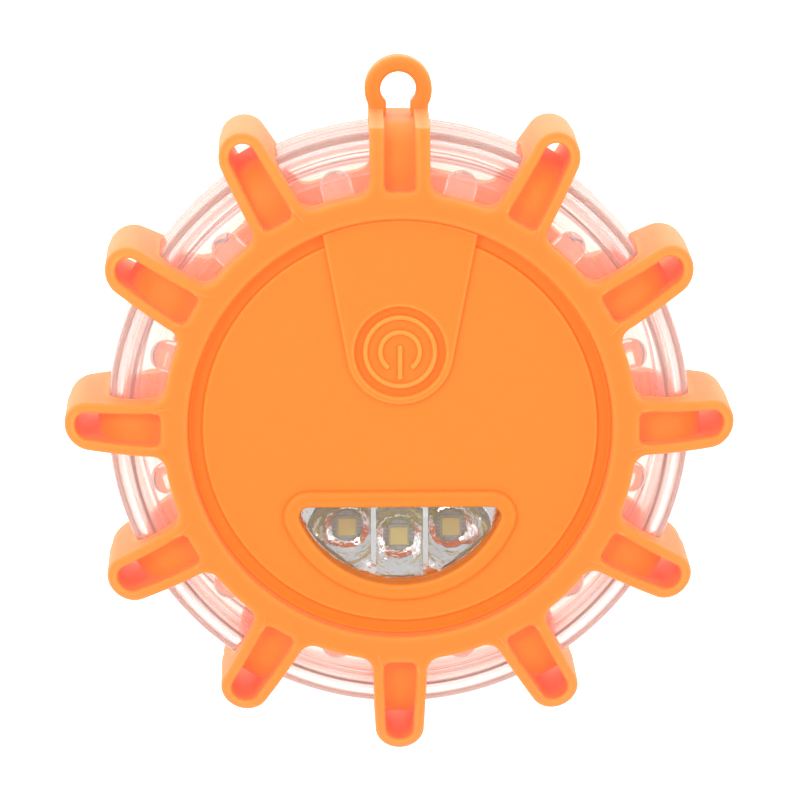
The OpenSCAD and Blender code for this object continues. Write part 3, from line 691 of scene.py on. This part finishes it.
def clear_plastic_material(name, tint, rough, deep):
    """Clear moulded plastic: slight haze and waviness, shadows that let the light through, a painted
    reflection of the rubber seen edge on, and a painted glow on deep light paths.
    """
    mat = bpy.data.materials.new(name)
    mat.use_nodes = True
    tree = mat.node_tree
    haze = add(tree, clear_haze, Color=(*tint, 1), Roughness=rough)
    # painted reflection: seen edge on, the wall's colour is mixed towards the colour of the rubber round
    # it
    edge_on = add(tree, "LayerWeight", Blend=0.5)
    rise = add(tree, "MapRange", Value=edge_on.outputs["Facing"], From_Min=0.12, From_Max=0.5)
    rise.interpolation_type = "SMOOTHSTEP"
    painted_reflection_color = add(tree, "Mix", Factor=rise.outputs["Result"], A=haze.outputs["Color"],
               B=(0.9, 0.81, 0.76, 1))
    bump = add(tree, "Bump", Strength=0.25, Distance=0.03 * mm, Height=haze.outputs["Height"])
    shader = plug(tree, tree.nodes["Principled BSDF"], Transmission_Weight=1, IOR=1.5,
                  Base_Color=painted_reflection_color.outputs["Result"], Roughness=haze.outputs["Roughness"],
                  Normal=bump.outputs["Normal"])
    through = add(tree, "BsdfTransparent", Color=(*[c * 0.96 for c in tint], 1))
    path = add(tree, "LightPath").outputs
    either = add(tree, "Math", path["Is Shadow Ray"], path["Is Diffuse Ray"], how="MAXIMUM")
    choose = add(tree, "MixShader", either.outputs[0], shader.outputs["BSDF"],
                 through.outputs["BSDF"])
    choose.name = "choose"
    # painted glow: past five transmissions the surface gives out a soft tinted light instead, standing
    # in for light carried along a wall
    painted_deep_glow = add(tree, "Emission", Color=(*deep, 1))
    far = add(tree, "Math", path["Transmission Depth"], 5.5, how="GREATER_THAN")
    last = add(tree, "MixShader", far.outputs[0], choose.outputs["Shader"],
               painted_deep_glow.outputs["Emission"])
    plug(tree, tree.nodes["Material Output"], Surface=last.outputs["Shader"])
    return mat


def ramp(tree, fac, stops, between="LINEAR"):
    """The colour that a ramp with these stops gives."""
    node = add(tree, "ValToRGB", Fac=fac)
    node.color_ramp.interpolation = between
    while len(node.color_ramp.elements) < len(stops):
        node.color_ramp.elements.new(0.5)
    for stop, (at, color) in zip(node.color_ramp.elements, stops):
        stop.position, stop.color = at, (*color, 1)
    return node.outputs["Color"]


clear_plastic = clear_plastic_material("clear plastic", (0.985, 0.98, 0.97), 0.01, (0.78, 0.6, 0.52))
# painted light: a pinkish cloudy layer in soft streaked bands round the axis stands in for the light and
# reflections seen inside the body; its tints darken to a thin line at 41.6 mm and towards the rim
tree = clear_plastic.node_tree
place = add(tree, "TexCoord").outputs["Object"]
flat = add(tree, "VectorMath", place, (1, 1, 0), how="MULTIPLY")
from_axis = add(tree, "VectorMath", flat.outputs[0], how="LENGTH").outputs["Value"]
band_end = 50
share = add(tree, "MapRange", Value=from_axis, From_Max=band_end * mm).outputs["Result"]
split = add(tree, "SeparateXYZ", Vector=place)
round_axis_place = add(tree, "CombineXYZ", X=from_axis, Y=split.outputs["Z"])
streak = add(tree, "TexNoise", Vector=round_axis_place.outputs["Vector"], Scale=800, Detail=1)
sharper = add(tree, "MapRange", Value=streak.outputs["Fac"], From_Min=0.35, From_Max=0.65,
              To_Min=0.45, To_Max=1.3)
painted_band_levels = ((36, 0), (37.5, 0.2), (40, 0.16), (41.2, 0.1), (41.6, 0.8), (42, 0.1), (43, 0.16),
               (43.6, 0.55), (45.3, 0.4))
painted_band_tints = ((36, (1, 0.88, 0.85)), (38.5, (0.95, 0.82, 0.78)), (41.1, (1, 0.9, 0.87)),
              (41.6, (0.28, 0.19, 0.17)), (42.1, (1, 0.92, 0.89)), (43, (0.95, 0.86, 0.82)),
              (43.6, (0.6, 0.5, 0.45)), (45.3, (0.52, 0.42, 0.37)))
much = ramp(tree, share, [(radius / band_end, (level,) * 3) for radius, level in painted_band_levels])
tint = ramp(tree, share, [(radius / band_end, color) for radius, color in painted_band_tints])
painted_inner_light = add(tree, "Math", much, sharper.outputs["Result"], how="MULTIPLY")
lit = add(tree, "BsdfDiffuse", Color=tint)
passed = add(tree, "BsdfTranslucent", Color=tint)
both = add(tree, "MixShader", 0.5, lit.outputs["BSDF"], passed.outputs["BSDF"])
soft = add(tree, "MixShader", painted_inner_light.outputs[0], tree.nodes["Principled BSDF"].outputs["BSDF"],
           both.outputs["Shader"])
tree.links.new(soft.outputs["Shader"], tree.nodes["choose"].inputs[1])

front_line = ([(0, 28), (land, 28), (land, 28.5)] + bend(shoulder, 5.8, 90, 0, 24)
              + [(45.3, 16.55), (45.25, 16.5), (44.2, 16.5), (44.2, 15.3), (43.3, 15.3)]
              + bend(shoulder, 3.8, 0, 90, 20) + [(land, 26), (0, 26)])
front = turned_piece("front_shell_look", front_line, 240)
stem_hole = turned_piece("stem_hole", [(0, 25), (2.6, 25), (2.6, 29), (0, 29)], 48)
cut_with(front, moved(stem_hole, y=button_y))
for a in (90, 195, 345):
    x, y = 25 * math.cos(math.radians(a)), 25 * math.sin(math.radians(a))
    line = [(1.05, 20.5), (2.6, 20.5), (2.6, 26.2), (1.05, 26.2)]
    boss = moved(turned_piece("boss", line, 32, closed=True), x, y)
    cut_with(front, boss, "UNION")
rear_line = ([(0, 5), (land, 5), (land, 4.5)] + bend(shoulder_low, 5.8, -90, 0, 24)
             + [(45.3, 16.45), (45.25, 16.5), (44.3, 16.5), (44.3, 15.2), (43.3, 15.2)]
             + bend(shoulder_low, 3.8, 0, -90, 20) + [(land, 7), (0, 7)])
rear = turned_piece("rear_shell_look", rear_line, 240)
for x, y in ((12, 23.2), (-12, 23.2), (-12, -23.2), (12, -23.2)):
    boss = moved(turned_piece("boss", [(0, 6.8), (2.8, 6.8), (2.8, 15), (0, 15)], 32), x, y)
    cut_with(rear, boss, "UNION")
    cut_with(rear, moved(turned_piece("hole", [(0, 4), (1.35, 4), (1.35, 14), (0, 14)], 24), x, y))
for y in (20.6, -20.6):
    boss = moved(turned_piece("boss", [(0, 6.8), (2.4, 6.8), (2.4, 12.5), (0, 12.5)], 32), 0, y)
    cut_with(rear, boss, "UNION")
    cut_with(rear, moved(turned_piece("hole", [(0, 8), (1.05, 8), (1.05, 13.5), (0, 13.5)], 24), 0, y))
bay_x, bay_y, bay_clip = 24.1 + 1.4, 16.15 + 1.4, 28.8 + 1.4
bay_hole = edge_piece("bay_hole", (-bay_x, -bay_y, 4), (bay_x, -bay_y, 4))
pull_to(bay_hole, [(-bay_x, bay_y, 4), (bay_x, bay_y, 4)])
bpy.ops.mesh.select_all(action="SELECT")
draw_out(z=4)
close_up()
clip = turned_piece("clip", [(0, 3), (bay_clip, 3), (bay_clip, 9), (0, 9)], 96)
cut_with(bay_hole, clip, "INTERSECT")
cut_with(rear, bay_hole)
for piece, node in ((front, "front_shell"), (rear, "rear_shell")):
    hold(piece)
    bpy.ops.object.shade_smooth_by_angle(angle=math.radians(30))
    dress(piece, clear_plastic)
    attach(piece, "flare")
    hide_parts(node)

# ---- Work light ----
# Three white surface-mount LEDs under a moulded reflector plated with bright metal, with a
# bowl for each LED and thin dividers between them. It stands on the board, behind the window.

bowl_x, bowl_y = (-8.1, 0.0, 8.1), (-17.5, -19.0, -17.5)
foot_z, top_z = 20.7, 25.9
reflector = drawn_up(window_outline("reflector_look", 0.8), foot_z, top_z)
inside = drawn_up(window_outline("inside", 0), foot_z - 1, top_z + 1)
bowl_line = [(0, foot_z - 1), (2.45, foot_z - 1), (2.45, foot_z + 0.5)]
bowl_line += [(2.5 + 3.9 * (k / 14) ** 0.62, foot_z + 0.5 + 4.8 * k / 14) for k in range(1, 15)]
bowl_line += [(6.5, top_z + 1), (0, top_z + 1)]
for x, y in zip(bowl_x, bowl_y):
    bowl = moved(turned_piece("bowl", bowl_line, 96), x, y)
    left, right = {-1: (-20, -4.45), 0: (-3.65, 3.65), 1: (4.45, 20)}[round(x / 8)]
    stall = edge_piece("stall", (left, -30, foot_z - 2), (right, -30, foot_z - 2))
    pull_to(stall, [(left, 0, foot_z - 2), (right, 0, foot_z - 2)])
    bpy.ops.mesh.select_all(action="SELECT")
    draw_out(z=9)
    close_up()
    cut_with(bowl, stall, "INTERSECT")
    cut_with(bowl, inside, "INTERSECT", keep_tool=True)
    cut_with(reflector, bowl)
hold(inside)
bpy.ops.object.delete()
hold(reflector)
round_off = reflector.modifiers.new("rounded edges", "BEVEL")
round_off.width, round_off.segments, round_off.limit_method = 0.12 * mm, 3, "ANGLE"
round_off.angle_limit = math.radians(50)
bpy.ops.object.modifier_apply(modifier=round_off.name)
bpy.ops.object.shade_smooth_by_angle(angle=math.radians(40))


def metal_group():
    """Fine surface scatter of a metal: long faint marks, soft blotches and their roughness."""
    tree, given, out = new_group(
        "metal finish", {"Color": (1, 1, 1, 1), "Stretch": (1, 1, 1), "Marks": 900, "Roughness": 0.3},
        {"Color": (0, 0, 0, 1), "Roughness": 0, "Height": 0})
    place = add(tree, "TexCoord").outputs["Object"]
    pull = add(tree, "VectorMath", place, given["Stretch"], how="MULTIPLY").outputs[0]
    marks = add(tree, "TexNoise", Vector=pull, Scale=given["Marks"], Detail=4).outputs["Fac"]
    blotch = add(tree, "TexNoise", Vector=place, Scale=120).outputs["Fac"]
    shade = add(tree, "Mix", how="MULTIPLY", Factor=blotch, A=given["Color"], B=(0.8, 0.8, 0.82, 1))
    rough = add(tree, "Math", marks, 0.15, given["Roughness"], how="MULTIPLY_ADD")
    tree.links.new(shade.outputs["Result"], out["Color"])
    tree.links.new(rough.outputs[0], out["Roughness"])
    tree.links.new(marks, out["Height"])
    return tree


metal_finish = metal_group()


def metal(name, color, roughness=0.3, stretch=(1, 1, 1), marks=900, depth=0.01, bumpy=0.4):
    """A metal with the shared finish; stretch draws its marks out along an axis."""
    mat = bpy.data.materials.new(name)
    mat.use_nodes = True
    tree = mat.node_tree
    finish = add(tree, metal_finish, Color=(*color, 1), Stretch=stretch, Marks=marks,
                 Roughness=roughness)
    bump = add(tree, "Bump", Strength=bumpy, Distance=depth * mm, Height=finish.outputs["Height"])
    plug(tree, tree.nodes["Principled BSDF"], Metallic=1, Base_Color=finish.outputs["Color"],
         Roughness=finish.outputs["Roughness"], Normal=bump.outputs["Normal"])
    return mat


plated = metal("plated reflector", (0.97, 0.97, 0.97), 0.03, marks=230, depth=0.8, bumpy=0.7)
dress(reflector, plated)
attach(reflector, "flare")
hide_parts("work_light_reflector")

phosphor = moulded("yellow phosphor", (0.86, 0.78, 0.32), 0.35, 5200, 0.3, 0.03, Subsurface_Weight=0.3,
                   Subsurface_Scale=0.0006, Coat_Weight=0.5)
led_case = moulded("LED case", (0.88, 0.87, 0.82), 0.4, 3000, 0.08, 0.01)
for i, (x, y) in enumerate(zip(bowl_x, bowl_y)):
    let_go()
    bpy.ops.mesh.primitive_cube_add(size=3.2 * mm)
    chip = bpy.context.object
    chip.name = chip.data.name = "work_led_%d_look" % (i + 1)
    for v in chip.data.vertices:
        v.co.z = (20.5 if v.co.z < 0 else 21.3) * mm
    pick(chip, lambda f: f.normal.z > 0.9, "FACE")
    bpy.ops.mesh.inset(thickness=0.15 * mm)
    draw_out(z=0.55)
    bpy.ops.mesh.inset(thickness=0.1 * mm)
    bpy.ops.transform.translate(value=(0, 0, 0.15 * mm))
    pick(chip, lambda e: e.calc_face_angle(0) > 0.5, "EDGE")
    bpy.ops.mesh.bevel(offset=0.12 * mm, segments=3, affect="EDGES")
    moved(chip, x, y)
    bpy.ops.object.shade_smooth_by_angle(angle=math.radians(40))
    dress(chip, led_case)
    chip.data.materials.append(phosphor)
    for f in chip.data.polygons:
        f.material_index = 1 if f.center.z > 21.35 * mm else 0
    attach(chip, "flare")
    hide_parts("work_led_%d" % (i + 1))

# ---- Side lights ----
# Twelve 5 mm LEDs soldered round the board's edge, one in each gap between the arms. Each is cast
# in clear resin with a flange and a domed end, round a lead frame: a cup on one lead that holds
# the chip, and a post on the other. The leads bend down into the board.

lens_line = ([(0, 0), (2.75, 0), (2.9, 0.15), (2.9, 0.85), (2.75, 1.0), (2.55, 1.0), (2.5, 1.05)]
             + bend((0, 6.1), 2.5, 0, 90, 15))
lens = turned_piece("lens", lens_line, 48)
cup_line = [(0, 3.3), (0.5, 3.3), (0.95, 4.4), (0.85, 4.4), (0.55, 3.85), (0, 3.85)]
cup = turned_piece("cup", cup_line, 24)
leads = []
for side, top, wide in ((-1, 3.5, 0.7), (1, 4.2, 0.45)):
    y = side * 1.27
    lead = edge_piece("lead", (-wide, y - 0.25, top), (wide, y - 0.25, top))
    for ends in (((-wide, 2.6), (wide, 2.6)), ((-0.25, 1.6), (0.25, 1.6)),
                 ((-0.25, -2.65), (0.25, -2.15)), ((2.9, -2.65), (2.9, -2.15))):
        pull_to(lead, [(ends[0][0], y - 0.25, ends[0][1]), (ends[1][0], y - 0.25, ends[1][1])])
    bpy.ops.mesh.select_all(action="SELECT")
    draw_out(y=0.5)
    close_up()
    pick(lead, lambda e: e.calc_face_angle(0) > 1.2, "EDGE")
    bpy.ops.mesh.bevel(offset=0.06 * mm, segments=2, affect="EDGES")
    bpy.ops.object.mode_set(mode="OBJECT")
    leads.append(lead)
arm = edge_piece("arm", (-0.35, -1.3, 3.2), (0.35, -1.3, 3.2))
pull_to(arm, [(-0.35, 0.2, 3.2), (0.35, 0.2, 3.2)])
bpy.ops.mesh.select_all(action="SELECT")
draw_out(z=0.3)
close_up()
led_resin = clear_plastic_material("LED resin", (1.0, 0.92, 0.905), 0.02, (0.9, 0.66, 0.6))
# painted glow: the unlit resin gives out a faint pink light, so the domes read pale
plug(led_resin.node_tree, led_resin.node_tree.nodes["Principled BSDF"],
     Emission_Color=(1, 0.78, 0.74, 1), Emission_Strength=0.11)
lead_metal = metal("tinned lead frame", (0.82, 0.82, 0.8), 0.22, (1, 1, 0.15), 2500)
dress(lens, led_resin)
for metal_bit in [cup, arm] + leads:
    dress(metal_bit, lead_metal)
joined([lens, cup, arm] + leads)
bpy.ops.object.shade_smooth_by_angle(angle=math.radians(35))
for i in range(12):
    hold(lens)
    bpy.ops.object.duplicate()
    led = bpy.context.object
    led.name = led.data.name = "side_led_%d_look" % (i + 1)
    a = math.radians((i + 0.5) * 30 + 90)
    led.rotation_euler = (0, math.radians(90), a)
    led.location = (31.4 * mm * math.cos(a), 31.4 * mm * math.sin(a), 21 * mm)
    bpy.ops.object.transform_apply()
    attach(led, "flare")
    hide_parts("side_led_%d" % (i + 1))
hold(lens)
bpy.ops.object.delete()

# ---- Circuit board ----
# A round glass-fibre board with a white solder mask, on three screws in the clear front half. It
# carries the LEDs, the tactile switch under the button, the controller and its small parts.


def finished(node, mat, width=0.12, segments=2):
    """A finished copy of a CAD piece: merged, its flats made whole, its sharp edges rounded."""
    source = frame["nodes"][node]
    piece = bpy.data.objects.new(node + "_look", source.data.copy())
    bpy.context.scene.collection.objects.link(piece)
    hold(piece)
    bpy.ops.mesh.customdata_custom_splitnormals_clear()
    bpy.ops.object.mode_set(mode="EDIT")
    bpy.ops.mesh.select_all(action="SELECT")
    bpy.ops.mesh.remove_doubles(threshold=1e-6)
    bpy.ops.mesh.dissolve_limited(angle_limit=math.radians(0.6))
    bpy.ops.mesh.select_all(action="SELECT")
    bpy.ops.mesh.normals_make_consistent(inside=False)
    bpy.ops.object.mode_set(mode="OBJECT")
    round_off = piece.modifiers.new("rounded edges", "BEVEL")
    round_off.width, round_off.segments, round_off.limit_method = width * mm, segments, "ANGLE"
    round_off.angle_limit = math.radians(50)
    bpy.ops.object.modifier_apply(modifier=round_off.name)
    bpy.ops.object.shade_smooth_by_angle(angle=math.radians(40))
    dress(piece, mat)
    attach(piece, source["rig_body"])
    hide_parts(node)
    return piece


white_board = moulded("white solder mask", (0.86, 0.87, 0.85), 0.35, 1500, 0.08, 0.02)
# its printed tracks: fine lines in a broken grid
tree = white_board.node_tree
skin = next(n for n in tree.nodes if n.type == "GROUP")
place = add(tree, "TexCoord").outputs["Object"]
grid = add(tree, "TexBrick", Vector=place, Scale=420, Mortar_Size=0.035, Color1=(0, 0, 0, 1),
           Color2=(0, 0, 0, 1), Mortar=(1, 1, 1, 1))
patch = add(tree, "TexVoronoi", Vector=place, Scale=140)
keep = add(tree, "Math", patch.outputs["Distance"], 0.45, how="GREATER_THAN")
lines = add(tree, "Math", grid.outputs["Color"], keep.outputs[0], how="MULTIPLY")
printed = add(tree, "Mix", Factor=lines.outputs[0], A=skin.outputs["Color"], B=(0.66, 0.7, 0.66, 1))
plug(tree, tree.nodes["Principled BSDF"], Base_Color=printed.outputs["Result"])
white_plastic = moulded("white plastic", (0.88, 0.88, 0.86), 0.42, 2400, 0.06, 0.02)
black_plastic = moulded("black plastic", (0.025, 0.026, 0.03), 0.45, 2600, 0.3, 0.02)
chip_resin = moulded("chip resin", (0.035, 0.035, 0.037), 0.55, 5200, 0.4, 0.03)
can_metal = metal("capacitor can", (0.6, 0.6, 0.62), 0.28, (1, 1, 0.2), 1500)
steel = metal("zinc-plated steel", (0.72, 0.72, 0.7), 0.28, (1, 1, 1), 1400)
finished("main_board", white_board, 0.15)
finished("tact_switch", black_plastic, 0.04)
finished("switch_plunger", white_plastic, 0.2)
finished("controller_chip", chip_resin, 0.12)
finished("chip_resistors", chip_resin, 0.06)
finished("bulk_capacitor", can_metal, 0.25, 3)
finished("board_screws", steel, 0.12)

# ---- Battery bay ----
# A white moulded tray for three AAA cells, screwed to the rear half. Folded spring-brass contacts
# and coil springs join the cells in series, and two soldered wires lead up to the board.

brass = metal("nickelled contact", (0.78, 0.76, 0.7), 0.25, (0.2, 1, 1), 1800)
spring_wire = metal("spring wire", (0.75, 0.75, 0.76), 0.22, (1, 1, 1), 2600)
finished("battery_bay", white_plastic, 0.3, 3)
for name in ("positive_contact", "negative_contact", "bridge_contact_left", "bridge_contact_right"):
    finished(name, brass, 0.06)
finished("contact_springs", spring_wire, 0.02, 1)
finished("positive_wire", moulded("red wire cover", (0.62, 0.03, 0.025), 0.4, 2600, 0.15, 0.02), 0.05)
finished("negative_wire", moulded("black wire cover", (0.02, 0.02, 0.022), 0.4, 2600, 0.3, 0.02), 0.05)
finished("bay_screws", steel, 0.12)


def band_group():
    """Bands along a cell: bare steel ends, dark film, a pale line and a coloured positive end."""
    tree, given, out = new_group("cell bands", {"Start": 0, "End": 1},
                                 {"Color": (0, 0, 0, 1), "Metallic": 0})
    split = add(tree, "SeparateXYZ", Vector=add(tree, "TexCoord").outputs["Object"])
    along = add(tree, "MapRange", Value=split.outputs["X"], From_Min=given["Start"],
                From_Max=given["End"]).outputs["Result"]
    steel_end, bare, covered = (0.7, 0.7, 0.7), (1, 1, 1), (0, 0, 0)
    looks = ((0, steel_end), (0.025, (0.03, 0.05, 0.13)), (0.7, (0.75, 0.78, 0.8)),
             (0.72, (0.62, 0.27, 0.07)), (0.975, steel_end))
    tree.links.new(ramp(tree, along, looks, "CONSTANT"), out["Color"])
    ends = ((0, bare), (0.025, covered), (0.975, bare))
    tree.links.new(ramp(tree, along, ends, "CONSTANT"), out["Metallic"])
    return tree


cell_bands = band_group()
for i, way in ((1, 1), (2, -1), (3, 1)):
    film = moulded("cell film %d" % i, (0.03, 0.05, 0.13), 0.28, 1800, 0.2, 0.01, Coat_Weight=0.4)
    tree = film.node_tree
    skin = next(n for n in tree.nodes if n.type == "GROUP")
    bands = add(tree, cell_bands, Start=way * (1.55 - 22.25) * mm, End=way * (1.55 + 22.25) * mm)
    plug(tree, skin, Color=bands.outputs["Color"])
    plug(tree, tree.nodes["Principled BSDF"], Metallic=bands.outputs["Metallic"])
    finished("battery_%d" % i, film, 0.35, 3)

# ---- Battery door and magnet ----
# A round orange lid over the bay, with a rubber seal under its edge and four cross-head screws.
# In its middle sits a disc magnet in a steel cup, which holds the flare to a car body.

finished("battery_door", orange_cover, 0.3, 4)
finished("door_seal", moulded("seal rubber", (0.05, 0.05, 0.052), 0.65, 2600, 0.2, 0.03), 0.2)
for i in range(4):
    finished("door_screw_%d" % (i + 1), steel, 0.1, 2)
finished("magnet", moulded("magnet ferrite", (0.045, 0.045, 0.05), 0.42, 3800, 0.4, 0.03), 0.3, 3)
finished("magnet_cup", steel, 0.25, 3)

# ---- Setting ----
# A plain white floor that glows a little, as a light table does, and can be seen through from
# below. Soft light comes from a broad dome, darker overhead and low down, and from two lamps.

bpy.ops.mesh.primitive_plane_add(size=6)
floor = bpy.context.object
floor.name = "floor"
pale = bpy.data.materials.new("pale floor")
pale.use_nodes = True
tree = pale.node_tree
shader = plug(tree, tree.nodes["Principled BSDF"], Base_Color=(0.9, 0.9, 0.9, 1), Roughness=0.9,
              Emission_Color=(1, 1, 1, 1), Emission_Strength=1)
side = add(tree, "NewGeometry")
clear = add(tree, "BsdfTransparent")
either = add(tree, "MixShader", side.outputs["Backfacing"], shader.outputs["BSDF"],
             clear.outputs["BSDF"])
plug(tree, tree.nodes["Material Output"], Surface=either.outputs["Shader"])
dress(floor, pale)

world = bpy.data.worlds.new("studio")
world.use_nodes = True
tree = world.node_tree
place = add(tree, "TexCoord")
split = add(tree, "SeparateXYZ", Vector=place.outputs["Generated"])
levels = ((0, 0.8), (0.42, 0.75), (0.52, 1.05), (0.84, 1), (0.92, 0.8))
dome = ramp(tree, split.outputs["Z"], [(at, (level,) * 3) for at, level in levels])
eye = add(tree, "LightPath")
seen = add(tree, "Mix", Factor=eye.outputs["Is Camera Ray"], A=dome, B=(1, 1, 1, 1))
plug(tree, tree.nodes["Background"], Color=seen.outputs["Result"], Strength=1)
bpy.context.scene.world = world
bpy.context.scene.view_settings.view_transform = "Standard"
for name, place, size, power in (("key", (-0.45, 0.4, 0.8), 0.35, 2.0),
                                 ("fill", (0.6, 0.1, 0.7), 0.5, 0.75)):
    lamp = bpy.data.lights.new(name, "AREA")
    lamp.size, lamp.energy = size, power
    holder = bpy.data.objects.new(name, lamp)
    holder.location = place
    holder.rotation_euler = (-Vector(place)).to_track_quat("-Z", "Y").to_euler()
    bpy.context.scene.collection.objects.link(holder)

# the camera looks down on the flare from 1 m, 11 degrees off its axis on the loop's side
lens = bpy.data.cameras.new("camera")
lens.lens = 287
camera = bpy.data.objects.new("camera", lens)
tilt, lean = math.radians(11), math.radians(-1.2)
back = Vector((math.sin(lean) * math.cos(tilt), math.sin(tilt), math.cos(lean) * math.cos(tilt)))
look_at = Vector((0.3, 1.5, 16.5)) * mm
up = (Vector((0, 1, 0)) - back * back.y).normalized()
right = up.cross(back)
camera.matrix_world = (Matrix.Translation(look_at + back * 1.0)
                       @ Matrix((right, up, back)).transposed().to_4x4())
lens.clip_start, lens.clip_end = 0.05, 20
bpy.context.scene.collection.objects.link(camera)
bpy.context.scene.camera = camera
